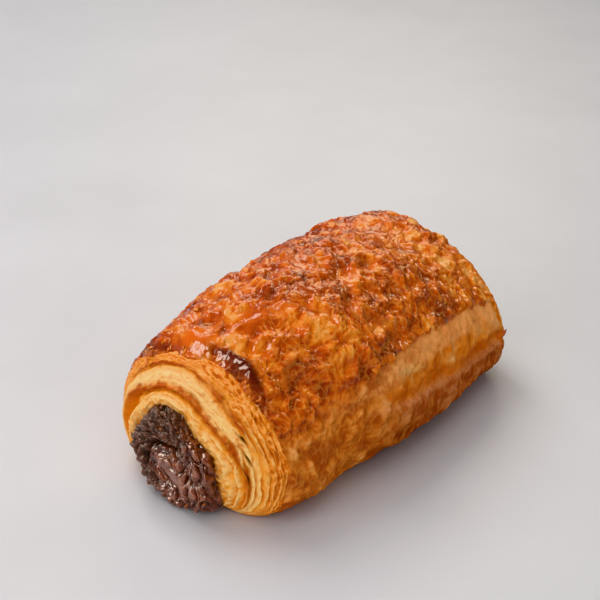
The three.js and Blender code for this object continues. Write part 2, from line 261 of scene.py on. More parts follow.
def turn_edge(edge, angle):
    """Share at which two turns meet: a base value plus a bell curve for each swing."""
    share, swings = edge
    return share + sum(by * angular_bump(angle, at, spread) for at, spread, by in swings)


# ------------------------------------------------------------------ meshes
def build_mesh(name, points, faces, attributes, flat=None):
    """A mesh object from arrays: points in millimetres are centred and put in metres, faces are quads or
    triangles, each attribute is one number for each point, and flat faces are not smoothed."""
    mesh = bpy.data.meshes.new(name)
    coordinates = (points.reshape(-1, 3) + CENTRING) * MM
    mesh.vertices.add(len(coordinates))
    mesh.vertices.foreach_set("co", coordinates.astype(np.float32).ravel())
    corners = np.concatenate([f.ravel() for f in faces])
    counts = np.concatenate([np.full(len(f), f.shape[1]) for f in faces])
    mesh.loops.add(len(corners))
    mesh.loops.foreach_set("vertex_index", corners.astype(np.int32))
    mesh.polygons.add(len(counts))
    starts = np.concatenate([[0], np.cumsum(counts)[:-1]])
    mesh.polygons.foreach_set("loop_start", starts.astype(np.int32))
    mesh.update(calc_edges=True)
    mesh.validate()
    smooth = np.ones(len(mesh.polygons), bool) if flat is None else ~flat
    mesh.polygons.foreach_set("use_smooth", smooth)
    for key, values in attributes.items():
        layer = mesh.attributes.new(key, "FLOAT", "POINT")
        layer.data.foreach_set("value", np.asarray(values, np.float32).ravel())
    piece = bpy.data.objects.new(name, mesh)
    bpy.context.scene.collection.objects.link(piece)
    return piece


def ring_faces(rows, round_count, closed):
    """Quads between neighbouring rows of a grid that closes round; the last row joins the first if closed."""
    r = np.arange(rows if closed else rows - 1)[:, None]
    i = np.arange(round_count)[None, :]
    n, j = (r + 1) % rows, (i + 1) % round_count
    a, b = r * round_count + i, r * round_count + j
    c, d = n * round_count + j, n * round_count + i
    return np.stack([a, d, c, b], -1).reshape(-1, 4)


def end_fans(rows, round_count):
    """Triangles that close a grid's first and last row round two points, which follow the grid's own."""
    i = np.arange(round_count)
    j = (i + 1) % round_count
    last, tip = (rows - 1) * round_count, rows * round_count
    first_fan = np.stack([0 * i + tip, i, j], -1)
    return np.concatenate([first_fan, np.stack([0 * i + tip + 1, last + j, last + i], -1)])


def round_angles(count, crowd=0.0):
    """Angles round the roll; crowd above 0 packs them closer over the top, as u + crowd x cos(u)."""
    u = np.linspace(0, 2 * np.pi, count, endpoint=False)
    return u + crowd * np.cos(u)


# ------------------------------------------------------------------ the baked skin
SEAM_NEAR, SEAM_FAR, SEAM_BEND = (-0.27, 21.8), (0.85, 14.5), 1.3        # station and level at both ends
SEAM_PROUD, SEAM_SOFTNESS = 1.15, 0.35
WASH_AT, WASH_FAR_DROP, WASH_PROUD = 26.0, 6.0, 0.5                      # angles in degrees, then a height

# Single marks of the crust, by y along the roll and by angle.
ARC_Y, ARC_WIDTH, ARC_BEND, ARC_MIDDLE, ARC_AT, ARC_SPREAD = -42.8, 1.7, 1.3, 65, 66, 19
AMBER_Y, AMBER_AT = -44.0, 94
SCORCH_Y, SCORCH_WIDTH = -46.5, 2.6
TORN_Y, TORN_LENGTH, TORN_LEVEL, TORN_SLOPE = -1.5, 6.0, 26.3, 0.25
GLAZED = [                                               # y, angle, half length, half width in degrees
    (-7.0, 89, 3.4, 6), (-3.5, 78, 3.8, 5), (-14.6, 71, 3.4, 6), (-30.0, 81, 5.5, 7), (25.0, 84, 4.5, 6),
]


def shared_relief(point, station, angle):
    """Relief in the solid as well: broad sine swells, ridged blisters and crags, and single bubbles."""
    relief = sum(
        height * np.sin(np.pi * along * station + rounds * angle + phase)
        for along, rounds, height, phase in SWELLS
    )
    relief = relief + BLISTER_HEIGHT * (ridges(point, BLISTER_SIZE, 1) - RELIEF_SINK)
    relief = relief + CRINKLE_HEIGHT * 0.5 * (ridges(point, CRINKLE_SIZE, 2) - RELIEF_SINK)
    for along, at, length, spread, height in SKIN_BUBBLES:
        length_wise = bell(point[..., 1] - along * HALF_LENGTH, length)
        relief = relief + height * length_wise * angular_bump(angle, at, spread)
    return relief * smoothstep(point[..., 2], *RELIEF_FADE)


def seam_fields(point, station):
    """The seam line's level falls by a power of the way from near to far. Returns 1 under it and 0 above, a
    narrow bell curve on the line, and a wider one just above it. The narrow one is painted as a pale
    highlight along the seam's step, and the wider one as shade in the dip above that step."""
    (near, near_level), (far, far_level) = SEAM_NEAR, SEAM_FAR
    to_near = np.clip((far - station) / (far - near), 0, 1) ** SEAM_BEND
    above = point[..., 2] - lerp(far_level, near_level, to_near) - 0.9 * cloud(point, 6.0, 4, 45)
    under = 1 - smoothstep(above, -SEAM_SOFTNESS, SEAM_SOFTNESS)
    reached = smoothstep(station, near - 0.2, near + 0.2)
    return under * reached, bell(above + 0.3, 0.9) * reached, bell(above - 2.0, 1.3) * reached


def wash_edge(station):
    """Angle in degrees where the egg wash ends on the seam side: it drops by a square towards the far end."""
    return WASH_AT - WASH_FAR_DROP * np.clip(station, 0, 1) ** 2


def wash_fields(point, station, angle, ragged):
    """Where the egg wash is. On the seam side it ends at its edge, made ragged by noise and blurred towards
    the near end; on the plain side it ends low down. Returns the wash, the washed part of the seam side, and
    the pale unwashed band next to the edge."""
    up, facing = signed_degrees(angle), np.cos(angle)
    line = wash_edge(station) + 0.9 * ragged + 0.5 * cloud(point, 2.5, 2, 47)
    blur = lerp(1.0, 9.0, smoothstep(-station, 0.2, 0.6))
    washed = smoothstep(up - line + 0.8 * blur, -blur, blur)
    seam_side = smoothstep(facing, 0.25, 0.5)
    wash = 1 - seam_side * (1 - washed)
    wash = wash * np.where(facing < 0, smoothstep(point[..., 2] + 3 * ragged, 5.0, 12.0), 1.0)
    band = smoothstep(up - line, -13, -9) * smoothstep(station + 0.35 * ragged, -0.7, -0.2)
    return wash, washed, band * (1 - washed) * seam_side


def crust_marks(point, angle, ragged):
    """Single marks as products of bell curves along and round the roll: the dark arc blister on its bent
    line, the amber bubble's colour and dome, the glazed patches, the torn spot and the scorched near rim."""
    up = signed_degrees(angle)
    y, z = point[..., 1], point[..., 2]
    arc_line = ARC_Y - ARC_BEND * ((up - ARC_MIDDLE) / ARC_SPREAD) ** 2
    arc = bell(y - arc_line, ARC_WIDTH) * angular_bump(angle, ARC_AT, ARC_SPREAD)
    amber = bell(y - AMBER_Y, 3.1, 4) * bell(up - AMBER_AT, 8.5, 4)
    dome = bell(y - AMBER_Y, 2.6) * angular_bump(angle, AMBER_AT, 7)
    glazed = sum(
        bell(y - at, length, 4) * bell(up - middle, width, 4) for at, middle, length, width in GLAZED
    )
    glazed = glazed * smoothstep(cloud(point, 3.5, 3, 34), -0.45, -0.1)
    torn = bell(y - TORN_Y, TORN_LENGTH) * bell(z - TORN_LEVEL + TORN_SLOPE * y - 1.2 * ragged, 0.9)
    scorch = bell(y - SCORCH_Y, SCORCH_WIDTH)
    scorch = scorch * np.maximum(angular_bump(angle, 50, 22), angular_bump(angle, 118, 28))
    return arc, amber, dome, glazed, torn, scorch


def skin_fields(point, station, angle):
    """Fine relief of the skin in millimetres, and the fields its colours come from.

    The relief adds tilted plates, puffed folds, ridged crumples and creases of falling size, and thin steps
    where a ply ends. Washed skin is rough where a noise says so and calm between; the unwashed seam side has
    long pulled ridges, and its lower part has ribs. Colour heights follow the same noises.
    """
    facing = np.cos(angle)
    seam_side = smoothstep(facing, 0.25, 0.5)
    flank = smoothstep(facing, 0.0, 0.5)
    far = smoothstep(station, 0.25, 0.8)
    ragged = cloud(point, 8.0, 4, 40)
    wash, washed, band = wash_fields(point, station, angle, ragged)
    under, ledge_highlight, shaded_recess = (field * smoothstep(facing, 0.3, 0.6) for field in seam_fields(point, station))
    arc, amber, dome, glazed, torn, scorch = crust_marks(point, angle, ragged)
    soft = np.clip(1 - np.maximum(1.2 * np.maximum(amber, 0.75 * arc), 0.95 * glazed), 0.0, 1)
    calm = smoothstep(cloud(point, 10.0, 2, 33) + 0.15 * smoothstep(-facing, -0.5, 0.6), 0.0, 0.3)

    bent = warped(point, 5.0, 1.6, 5)
    fine_bent = warped(bent, 1.8, 0.7, 15)
    tilt, tone, border = plates(bent, 3.6, 11)
    small_tilt, small_tone, small_border = plates(fine_bent, 1.5, 12)
    crumple, crease, hair = ridges(bent, 2.7, 21), ridges(fine_bent, 1.4, 22), ridges(fine_bent, 0.75, 24)
    crumple_crest, crease_crest = crumple * np.abs(crumple), crease * np.abs(crease)
    lumps = billows(bent, 3.0, 28)
    folds = billows(warped(point, 7.0, 2.5, 41), 6.0, 44, softness=0.002)
    wrinkle = ridges(drawn_out(fine_bent, 0.4, 1.3, 0.4), 1.3, 23)
    pulled = ridges(warped(drawn_out(bent, 1.0, 0.45, 1.0), 2.5, 0.8, 58), 1.5, 59)
    ribs = 0.7 * ridges(drawn_out(warped(point, 3.6, 2.2, 27), 0.5, 1.1, 0.4), 2.6, 26)
    ribs = ribs + 0.3 * ridges(drawn_out(warped(point, 2.0, 1.0, 37), 0.5, 1.2, 0.4), 1.2, 38)

    near_side = smoothstep(-station + 0.35 * cloud(point, 9.0, 2, 56), -0.25, 0.45)
    near_side = near_side * smoothstep(point[..., 2], 2.0, 7.0)
    stained = smoothstep(cloud(point, 7.0, 3, 57), 0.1, 0.5) * (1 - washed) * seam_side
    near_side = np.maximum(0.8 * near_side, 0.7 * stained)
    crusty = np.maximum(wash, near_side)

    small = (0.08 + 0.08 * flank) * crease_crest + 0.02 * hair + 0.06 * small_tilt
    crisp = (
        0.34 * tilt + 0.75 * (folds - 0.5) + (0.42 * lumps + 0.17 * crumple_crest) * lerp(1.1, 0.3, calm)
        + small * lerp(lerp(1.0, 0.25, calm), 1.0, 0.5 * flank) + 0.16 * far * wrinkle
        + 0.12 * terraces(3.0 * cloud(bent, 8.0, 3, 31)) + 0.08 * terraces(5.0 * cloud(bent, 3.6, 2, 35))
    )
    stretched = (
        0.14 * tilt + 0.12 * lumps + 0.13 * pulled * np.abs(pulled) + 0.05 * crease_crest
        + 0.16 * terraces(2.5 * cloud(bent, 7.0, 2, 36))
    )
    lower = 0.42 * (ribs - 0.5) + 0.14 * crease + 0.2 * tilt
    relief = lerp(lerp(stretched, crisp, crusty), lower, under)
    relief = relief * soft + 1.1 * dome + 0.25 * glazed + arc * (0.9 + 0.35 * crease)
    relief = relief + WASH_PROUD * washed * seam_side + SEAM_PROUD * under - 0.4 * shaded_recess - 0.62

    height = (
        (0.35 * (crumple_crest - 0.3) + 1.0 * (lumps - 0.5)) * lerp(1.1, 0.5, calm) + 0.9 * (folds - 0.5)
        + 0.04 * calm + (0.3 * (crease_crest - 0.3) + 0.06 * (hair - 0.5)) * lerp(1, 0.6, calm)
        + 0.14 * flank + 0.12 * small_tilt + 0.45 * tilt - 0.12 * border + 0.5 * cloud(point, 5.0, 2, 53)
    )
    side_height = (
        1.1 * cloud(drawn_out(point, 1.0, 0.35, 1.0), 4.0, 4, 54) + 0.6 * cloud(point, 9.0, 2, 55)
        + 0.3 * (crumple - 0.5)
    )
    height = lerp(height, 0.15, 0.7 * glazed)
    height = lerp(side_height, height, np.maximum(crusty, 0.5 * under)) + 0.7 * under * (ribs - 0.5)
    patchy = lerp(smoothstep(cloud(point, 4.0, 2, 50), -0.2, 0.4), 1.0, 0.6 * flank)
    crest = smoothstep(np.maximum(0.95 * crumple, crease), 0.8 - 0.1 * flank, 0.98) * patchy
    crest = lerp(0.7 * smoothstep(pulled, 0.72, 0.98) * patchy, crest, crusty)
    crest = lerp(crest, 0.8 * smoothstep(ribs, 0.6, 0.95), under) * (1 - 0.8 * glazed)
    # Tone of the baking: broad clouds, plate tones and the scorched near rim. The lift on the far part of the
    # side that faces +X is painted light, for the highlights that side shows.
    bake_and_far_side_light = (
        0.5 + 0.36 * cloud(point, 18.0, 2, 51) + 0.42 * cloud(bent, 7.0, 2, 52) + 0.14 * far * (facing > 0)
        + 0.26 * (tone - 0.5) + 0.08 * (small_tone - 0.5) - 0.35 * scorch
    )
    return relief, dict(
        wash=wash, height=0.5 + 0.42 * height, bake_and_far_side_light=bake_and_far_side_light, crest=crest, under=under, ledge_highlight=ledge_highlight,
        shaded_recess=shaded_recess, calm=calm, near_side_shade_and_stain=near_side * (1 - washed) * seam_side, band=band, arc=arc,
        amber=amber, torn=torn * seam_side, gap=np.maximum(border, 0.4 * small_border),
    )


def outward(tilt, end, angle):
    """Unit direction out of the surface: radial on the wall, turned by the tilt towards the end."""
    return np.stack([np.cos(tilt) * np.cos(angle), np.sin(tilt) * end, np.cos(tilt) * np.sin(angle)], -1)


def skin_surface(end_share, step, angle):
    """Point of the finished skin and its colour fields.

    `step` runs from -1 to 1 along the wall; `end_share` is 0 on the wall and grows on a rounded end, where
    the point follows a quarter ellipse from the wall towards the channel. Relief pushes the point outward,
    tilted from radial to axial by the same quarter turn. Near the base it fades, and a low ruffle remains.
    """
    end = np.where(step < 0, NEAR, FAR)
    tilt = end_share * np.pi / 2
    inward = 1 - np.cos(tilt)
    straight = end_plane(angle) - end_setback(angle)
    y = step * straight + end * end_setback(angle) * np.sin(tilt)
    station = y / HALF_LENGTH
    skin_x, skin_z = skin_outline(station, angle)
    mouth_x, mouth_z = channel_outline(angle)
    point = np.stack([lerp(skin_x, mouth_x, inward), y, lerp(skin_z, mouth_z, inward)], -1)
    z = point[..., 2]
    fine, fields = skin_fields(point, station, angle)
    to_rim = end_share / turn_edge(RIM_EDGE, angle) + 0.25 * cloud(point, 3.0, 3, 62)
    fields["edge"] = smoothstep(to_rim, 0.75, 1.05)
    foot = smoothstep(z, 0.2, 1.2) * (1 - smoothstep(z, 2.5, 7.0))
    ruffle = ridges(drawn_out(warped(point, 2.5, 0.8, 48), 0.6, 1.3, 0.6), 2.0, 29)
    ruffle = ruffle + 0.5 * cloud(point, 1.5, 2, 30)
    fields["height"] = fields["height"] + 0.35 * foot * (ruffle - 0.8)
    fine = fine * smoothstep(z, 0.6, 5.0) * lerp(1, 0.6, fields["edge"])
    relief = shared_relief(point, station, angle) + fine + 0.6 * foot * (ruffle - 0.6)
    moved = point + relief[..., None] * outward(tilt, end, angle)
    moved[..., 2] = np.maximum(moved[..., 2], 0)
    return moved, fields


SKIN_ROUND, SKIN_CROWDING = 590, 0.42
RIM_RAGGEDNESS, RIM_RADIUS = 0.035, 20
SKIN_CORNER_ROWS, SKIN_WALL_ROWS, SKIN_INNER_ROWS = 26, 420, 5
SKIN_THICKNESS = 2.4
SKIN_BANDS = ("skin_near", "skin_middle", "skin_far")
BAND_OVERLAP = 2                                         # rows that run on under the next band
BAND_SINK = 0.05
LEAST_INNER_HEIGHT = 0.25                                # the inner rows keep this far above the floor


def skin_rows():
    """Points and fields of the whole skin: over the near corner, along the wall and over the far corner."""
    angle = round_angles(SKIN_ROUND, SKIN_CROWDING)[None, :]
    rim = turn_edge(RIM_EDGE, angle)
    circle = np.stack([RIM_RADIUS * np.cos(angle), RIM_RADIUS * np.sin(angle), 0 * angle], -1)
    ragged = RIM_RAGGEDNESS * cloud(circle, 5.0, 4, 61)
    corner = np.linspace(1, 0, SKIN_CORNER_ROWS, endpoint=False)[:, None]
    wall = np.linspace(-1, 1, SKIN_WALL_ROWS)[:, None]
    share = np.concatenate([corner * (rim + ragged), 0 * wall + 0 * angle, corner[::-1] * (rim - ragged)])
    step = np.concatenate([-1 + 0 * corner, wall, 1 + 0 * corner]) + 0 * angle
    points, fields = skin_surface(share, step, angle + 0 * step)
    return points, fields, angle


def make_skin():
    """The baked skin as bands along the roll. Each is a tube with a wall: outer rows, then a few rows back at
    a constant depth inside them. A band's last rows sink a little and run on under the next band."""
    points, fields, angle = skin_rows()
    edges = np.linspace(0, len(points), len(SKIN_BANDS) + 1).astype(int)
    bands = []
    for name, first, end in zip(SKIN_BANDS, edges, edges[1:]):
        last = min(end + BAND_OVERLAP, len(points))
        outer = points[first:last].copy()
        if last > end:
            tail = outer[-BAND_OVERLAP:]
            sunk = BAND_SINK * np.array([0.5, 1.0])[:, None]
            tail[..., 0] -= sunk * np.cos(angle)
            tail[..., 2] -= sunk * np.sin(angle) * (tail[..., 2] > 0.2)
        pick = np.linspace(len(outer) - 1, 0, SKIN_INNER_ROWS).astype(int)
        inner = outer[pick].copy()
        inner[..., 0] -= SKIN_THICKNESS * np.cos(angle)
        inner[..., 2] = np.maximum(inner[..., 2] - SKIN_THICKNESS * np.sin(angle), LEAST_INNER_HEIGHT)
        grid = np.concatenate([outer, inner])
        attributes = {key: np.concatenate([v[first:last], v[first:last][pick]]) for key, v in fields.items()}
        faces = ring_faces(len(grid), SKIN_ROUND, True)
        hidden = np.repeat(np.arange(len(grid)) >= len(outer) - 1, SKIN_ROUND)
        bands.append(build_mesh(name, grid, [faces], attributes, hidden))
    return bands


# ------------------------------------------------------------------ the open ends with their turns
TUCK = 0.1                                               # how far the dough reaches under the skin's rim
INNER_PLIES = 3.0                                        # thin sheets in the inner turn
PLY_SHARE = 0.08                                         # thickness of a sheet in the outer turns, as a share
SLITS = [(19, 0.60, 5), (6, 0.65, 6), (33, 0.57, 4)]     # at, share and half length in degrees

# The lip and groove at each edge between turns: where they are drawn (at, spread, strength), what stays of
# them on the faint stretches, and the height of both.
EDGE_LINES = [
    dict(edge=1, drawn=[(118, 62, 1.0), (36, 46, 1.2)], least=0.75, groove=0.9, lip=0.8),
    dict(edge=2, drawn=[(106, 44, 1.0), (46, 20, 0.85)], least=0.5, groove=0.4, lip=0.6),
]
BACK_DEPTHS = dict(mouth=9.0, ring=12.0)                 # how far the closed back lies inside the end plane
BACK_UNDER_SKIN = dict(inward=1.2, along=1.5)
UNDER_SKIN_SINK = 0.7                                    # how far the dough stays below the skin's rim
END_CROWDING = 0.15
FRONT_CLEARANCE, BACK_CLEARANCE = 0.02, 0.1              # heights kept above the floor


def place_across(share, angle):
    """Place across the turns of an end: 0 at the channel, 1 and 2 at the two edges, 3 at the skin's rim."""
    inner, outer, rim = (turn_edge(edge, angle) for edge in (INNER_EDGE, OUTER_EDGE, RIM_EDGE))
    return np.where(
        share > inner, (1 - share) / (1 - inner),
        np.where(share > outer, 1 + (inner - share) / (inner - outer), 2 + (outer - share) / (outer - rim)),
    )


def round_the_turn(across, radius, angle):
    """Coordinates for noise that runs along a turn: the place across, and a circle of a radius round it."""
    return np.stack([across, radius * np.cos(angle), radius * np.sin(angle)], -1)


def edge_lips(place, along, angle):
    """Bell-shaped lips and grooves across each edge between turns, with a second, frayed lip of noisy place.
    Returns how much lip there is and the relief."""
    patchy = smoothstep(cloud(along, 1.6, 3, 79), -0.35, 0.15)
    frayed_place = place - 0.14 - 0.16 * cloud(along, 1.2, 3, 80)
    lips, relief = np.zeros(place.shape), np.zeros(place.shape)
    for line in EDGE_LINES:
        stretches = sum(strength * angular_bump(angle, at, spread) for at, spread, strength in line["drawn"])
        drawn = np.clip(stretches, 0, 1) * lerp(line["least"], 1.0, patchy)
        lip = bell(place - line["edge"] - 0.09, 0.12) * drawn
        frayed = bell(frayed_place - line["edge"], 0.16) * drawn
        groove = bell(place - line["edge"] + 0.03, 0.07) * drawn
        lips = np.maximum(lips, np.maximum(lip, 0.9 * frayed))
        relief = relief + line["lip"] * lip - line["groove"] * groove
    return lips, relief


def turn_relief(share, angle, point, end):
    """Relief of the turns on an end, and their colour fields.

    Thin sheets are a saw wave in the place across the turns, whose strength wanders along the turn; they
    stand out as leaves where they fan out at the seam side. Each turn is a sine belly, edges have lips and
    grooves, slits and a deep cavity on the -X side are cut as bell curves, fibres are ridged noise stretched
    along the turn, the inner turn is lumpy like crumb, and the outermost part is baked rough. The cavity's
    bright orange is a painted glow of light shining through thin dough, and the slits' near black is
    painted shade.
    """
    moved = share + 0.014 * cloud(point, 7.0, 2, 71) + 0.006 * cloud(point, 2.4, 2, 72)
    place = place_across(moved, angle)
    turn = np.clip(np.floor(place), 0, 2)
    fan = np.clip(1.3 * angular_bump(angle, 345, 58), 0, 1) * smoothstep(place, 0.1, 0.8)
    sheets = np.where(turn == 0, INNER_PLIES * place, moved / PLY_SHARE)
    along = round_the_turn(sheets * 0.9, 9, angle)
    sheets = sheets + 0.3 * cloud(point, 4.5, 2, 75) + 0.4 * gradient_noise(along, 3.0, 76)
    strength = 0.3 + 0.7 * smoothstep(gradient_noise(along, 2.2, 77), -0.4, 0.4)
    part = sheets - np.floor(sheets)
    saw = (1 - part) * smoothstep(part, 0.0, 0.2)
    fibre_way = round_the_turn(sheets, 5, angle)
    fibre = ridges(fibre_way + 0.2 * cloud(point, 1.6, 2, 78)[..., None], 0.55, 81)
    porous = ridges(point, 2.2, 87) * (turn == 0)
    baked = smoothstep(place + 0.5 * cloud(along, 1.8, 3, 88), 2.1, 2.8)

    lips, relief = edge_lips(place, along, angle)
    # The slits are cut here; their near-black colour is painted shade.
    shaded_slit = (end == NEAR) * sum(
        angular_bump(angle, at, half) * bell(share - level - 0.004 * (signed_degrees(angle) - at), 0.014)
        for at, level, half in SLITS
    )
    # A deep cavity on the -X side; its bright orange colour is a painted glow of light shining through thin
    # dough.
    lit_pocket = angular_bump(angle, 170, 27) * smoothstep(place, 0.42, 0.7) * (1 - smoothstep(place, 0.98, 1.06))
    flap = angular_bump(angle, 185, 24) * bell(place - 1.35, 0.3)
    belly_height = np.select([turn == 0, turn == 1], [0.9, 0.45], 0.3)
    bellies = belly_height * np.sin(np.pi * np.clip(place - turn, 0, 1))
    relief = relief - 3.4 * lit_pocket + 0.6 * flap - 1.1 * shaded_slit + bellies * (1 - 0.6 * fan)
    relief = relief + 0.4 * (porous - 0.5) * (turn == 0) + 0.3 * cloud(point, 3.6, 3, 85)
    relief = relief + (0.42 + 0.68 * fan) * strength * (saw - 0.4) + 0.15 * (fibre - 0.5)
    crust = 0.26 * (ridges(point, 2.4, 90) - 0.5) + 0.05 * (ridges(point, 1.1, 91) - 0.5)
    relief = relief + baked * (crust + 0.12 * (fibre - 0.5))

    inner_cream = 0.82 - 0.35 * smoothstep(place, 0.6, 0.95) + 0.3 * (porous - 0.5)
    middle_cream = 0.4 + 0.6 * np.sin(np.pi * np.clip(place - 1.05, 0, 1))
    cream = np.select([turn == 0, turn == 1], [inner_cream, middle_cream], 0.62 - 0.12 * (place - 2))
    cream = cream * lerp(1.0, 0.86, smoothstep(np.cos(angle + np.pi / 3), -0.4, 0.4))
    cream = cream + fan * strength * (0.75 * saw - 0.1)
    streak = smoothstep(cloud(drawn_out(fibre_way, 1.0, 0.5, 0.5), 0.9, 3, 83), 0.05, 0.5)
    spots = smoothstep(cloud(point, 2.4, 2, 92), 0.3, 0.5) * angular_bump(angle, 48, 28)
    streak = np.maximum(streak * smoothstep(place, 1.6, 2.3), 1.3 * spots * smoothstep(place, 1.2, 1.5))
    groove = np.clip((1 - 1.5 * saw) * lerp(0.55, 1.0, fan) * strength, 0, 1)
    return relief, dict(
        lip=lips, cream=np.clip(cream, 0, 1), groove=groove, fibre=fibre, streak=streak, lit_pocket=lit_pocket,
        fringe=bell(place + 0.1 * cloud(point, 3.0, 2, 89), 0.24), rim=baked, shaded_slit=np.clip(shaded_slit, 0, 1),
        low=smoothstep(-np.sin(angle), 0.4, 0.9),
    )


def end_surface(end, share, angle):
    """Point of an open end: a quarter ellipse from the wall to the channel's mouth, with bulge and turns."""
    tilt = share * np.pi / 2
    inward = 1 - np.cos(tilt)
    y = end_plane(angle) - end_setback(angle) * (1 - np.sin(tilt))
    skin_x, skin_z = skin_outline(end * y / HALF_LENGTH, angle)
    mouth_x, mouth_z = channel_outline(angle)
    bulge = END_BULGE * smoothstep(np.sin(angle), -0.8, 0) * inward**2
    point = np.stack([lerp(skin_x, mouth_x, inward), end * (y + bulge), lerp(skin_z, mouth_z, inward)], -1)
    rim = turn_edge(RIM_EDGE, angle)
    relief, fields = turn_relief(share, angle, point, end)
    under_skin = smoothstep(share - rim, -0.06, 0.03)
    skin_part = shared_relief(point, end * y / HALF_LENGTH, angle) * (1 - smoothstep(share, 0.1, 0.3))
    relief = relief * smoothstep(point[..., 2], *TURN_FADE) * under_skin + skin_part
    relief = relief - UNDER_SKIN_SINK * (1 - under_skin)
    moved = point + relief[..., None] * outward(tilt, end, angle)
    moved[..., 2] = np.maximum(moved[..., 2], FRONT_CLEARANCE)
    return moved, fields


def make_end(name, end, rows, round_count):
    """One open end: a ring of dough from under the skin's rim to the channel's mouth, closed at the back."""
    angle = round_angles(round_count, END_CROWDING)[None, :]
    share = lerp(turn_edge(RIM_EDGE, angle) - TUCK, 1.0, np.linspace(0, 1, rows)[:, None])
    front, fields = end_surface(end, share, angle + 0 * share)
    back_rows = [-1, -1, 0]
    back = front[back_rows]
    mouth, ring, under = back
    mouth[:, 1] = end * (HALF_LENGTH - BACK_DEPTHS["mouth"])
    ring[:] = lerp(mouth, front[0], 0.5)
    ring[:, 1] = end * (HALF_LENGTH - BACK_DEPTHS["ring"])
    inward = BACK_UNDER_SKIN["inward"]
    under[:, 0] -= inward * np.cos(angle[0])
    under[:, 1] -= end * BACK_UNDER_SKIN["along"]
    under[:, 2] = np.maximum(under[:, 2] - inward * np.sin(angle[0]), BACK_CLEARANCE)
    way = 1 if end == NEAR else -1
    grid = np.concatenate([front, back])[::way]
    attributes = {key: np.concatenate([value, value[back_rows]])[::way] for key, value in fields.items()}
    return build_mesh(name, grid, [ring_faces(len(grid), round_count, True)[:, ::-1]], attributes)


# ------------------------------------------------------------------ the chocolate
LOBE_X, LOBE_Z, LOBE_RADIUS = 2.8, 9.8, 9.1              # the glossy lobe, seen from the end
BURNT_SIDE = 152                                         # the burnt lobe lies this way from it, in degrees
LUMP_SIZE, LUMP_HEIGHT = 5.5, 1.1
NOSE_FIRST_STEP, NOSE_CROWDING = 0.03, 1.6               # rows lie closer together towards the tip


def nose_outline(end, nose, step, angle):
    """Point of a smooth chocolate nose: the channel's outline shrinks as a power of a cosine while it moves
    out as a sine and its lower half sags. At the dough it is pressed against the channel."""
    tilt = step * np.pi / 2
    lowness = smoothstep(-np.sin(angle), -0.4, 1)
    width = np.cos(tilt) ** lerp(NOSE_BLUNTNESS["top"], NOSE_BLUNTNESS["bottom"], lowness)
    filling = smoothstep(step, 0.0, 0.12) * (1 - smoothstep(step, 0.5, 1.0))
    filling = filling * smoothstep(np.sin(angle), -0.5, 0.3)
    mouth_x, mouth_z = channel_outline(angle, MOUTH_FILL * filling - CHOCOLATE_GAP)
    axis_x, axis_z = (lerp(*ends, smoothstep(step, 0.25, 1)) for ends in zip(CHANNEL_AXIS, nose["tip"]))
    shoulder = NOSE_SHOULDER * np.sin(2 * tilt) * np.cos(tilt) ** 2
    sag = nose["droop"] * smoothstep(step, 0.12, 0.6) * lowness
    return np.stack([
        axis_x + (mouth_x - CHANNEL_AXIS[0]) * width,
        end * (NOSE_START + nose["reach"] * np.sin(tilt) + shoulder),
        axis_z + (mouth_z - CHANNEL_AXIS[1]) * width - sag,
    ], -1)


def nose_surface(end, nose, step, angle):
    """Point of a chocolate nose and its colour fields: puffed folds on a glossy lobe, tilted crumbs on a
    burnt one, and one bell-shaped crevice on a circle between them. The near one spills over the dough."""
    point = nose_outline(end, nose, step, angle)
    bent = warped(point, 3.2, 1.0, 101)
    away = np.hypot(bent[..., 0] - LOBE_X, bent[..., 2] - LOBE_Z) - LOBE_RADIUS
    way = np.arctan2(point[..., 2] - LOBE_Z, point[..., 0] - LOBE_X)
    burnt_side = smoothstep(np.cos(way - np.radians(BURNT_SIDE)), 0.2, 0.55)
    burnt = smoothstep(away, -0.6, 0.9) * burnt_side
    crevice = bell(away, 0.9) * burnt_side * smoothstep(cloud(point, 4.0, 2, 102), -0.45, 0.1)
    _, _, border = plates(bent, 3.4, 111)
    crumb_tilt, _, crumb_border = plates(warped(point, 1.5, 0.6, 103), 1.5, 112)
    streak = drawn_out(bent, 1.0, 0.7, 0.5)
    folds = billows(warped(streak, 3.0, 1.2, 121), 2.7, 122)
    fine_folds = billows(warped(streak, 1.6, 0.5, 123), 1.25, 124)

    lumps = LUMP_HEIGHT * gradient_noise(point, LUMP_SIZE, 3) * smoothstep(step, 0.1, 0.4)
    crumbly = 0.9 * crumb_tilt - 0.4 * crumb_border + 0.5 * cloud(point, 2.2, 2, 125)
    folded = 1.5 * (folds - 0.5) + 0.55 * (fine_folds - 0.5) + 0.4 * cloud(point, 3.0, 2, 126)
    relief = lumps - 2.6 * crevice - 0.7 * border * lerp(0.5, 1, burnt) + lerp(folded, crumbly, burnt)
    relief = relief * smoothstep(step, 0.05, 0.3)
    relief = np.where(step < 0.3, np.minimum(relief, 0.25), relief)
    spill = (end == NEAR) * sum(
        by["out"] * angular_bump(angle, by["at"], by["spread"])
        * smoothstep(step, *by["rises"]) * (1 - smoothstep(step, *by["falls"]))
        for by in SPILLS
    )
    tilt = step * np.pi / 2
    across = relief * np.cos(tilt) + spill
    ahead = relief * np.sin(tilt) * end
    moved = point + np.stack([across * np.cos(angle), ahead, across * np.sin(angle)], -1)
    moved[..., 2] = np.maximum(moved[..., 2], NOSE_CLEARANCE)
    # Colour fields: near black in the crevice and along plate and crumb borders is painted shade, and the
    # crests of the folds carry a painted highlight.
    hollow_shade = np.clip(crevice + 0.5 * border + 0.4 * burnt * crumb_border, 0, 1)
    return moved, dict(burnt=burnt, hollow_shade=hollow_shade, fold_light=0.65 * folds + 0.35 * fine_folds)


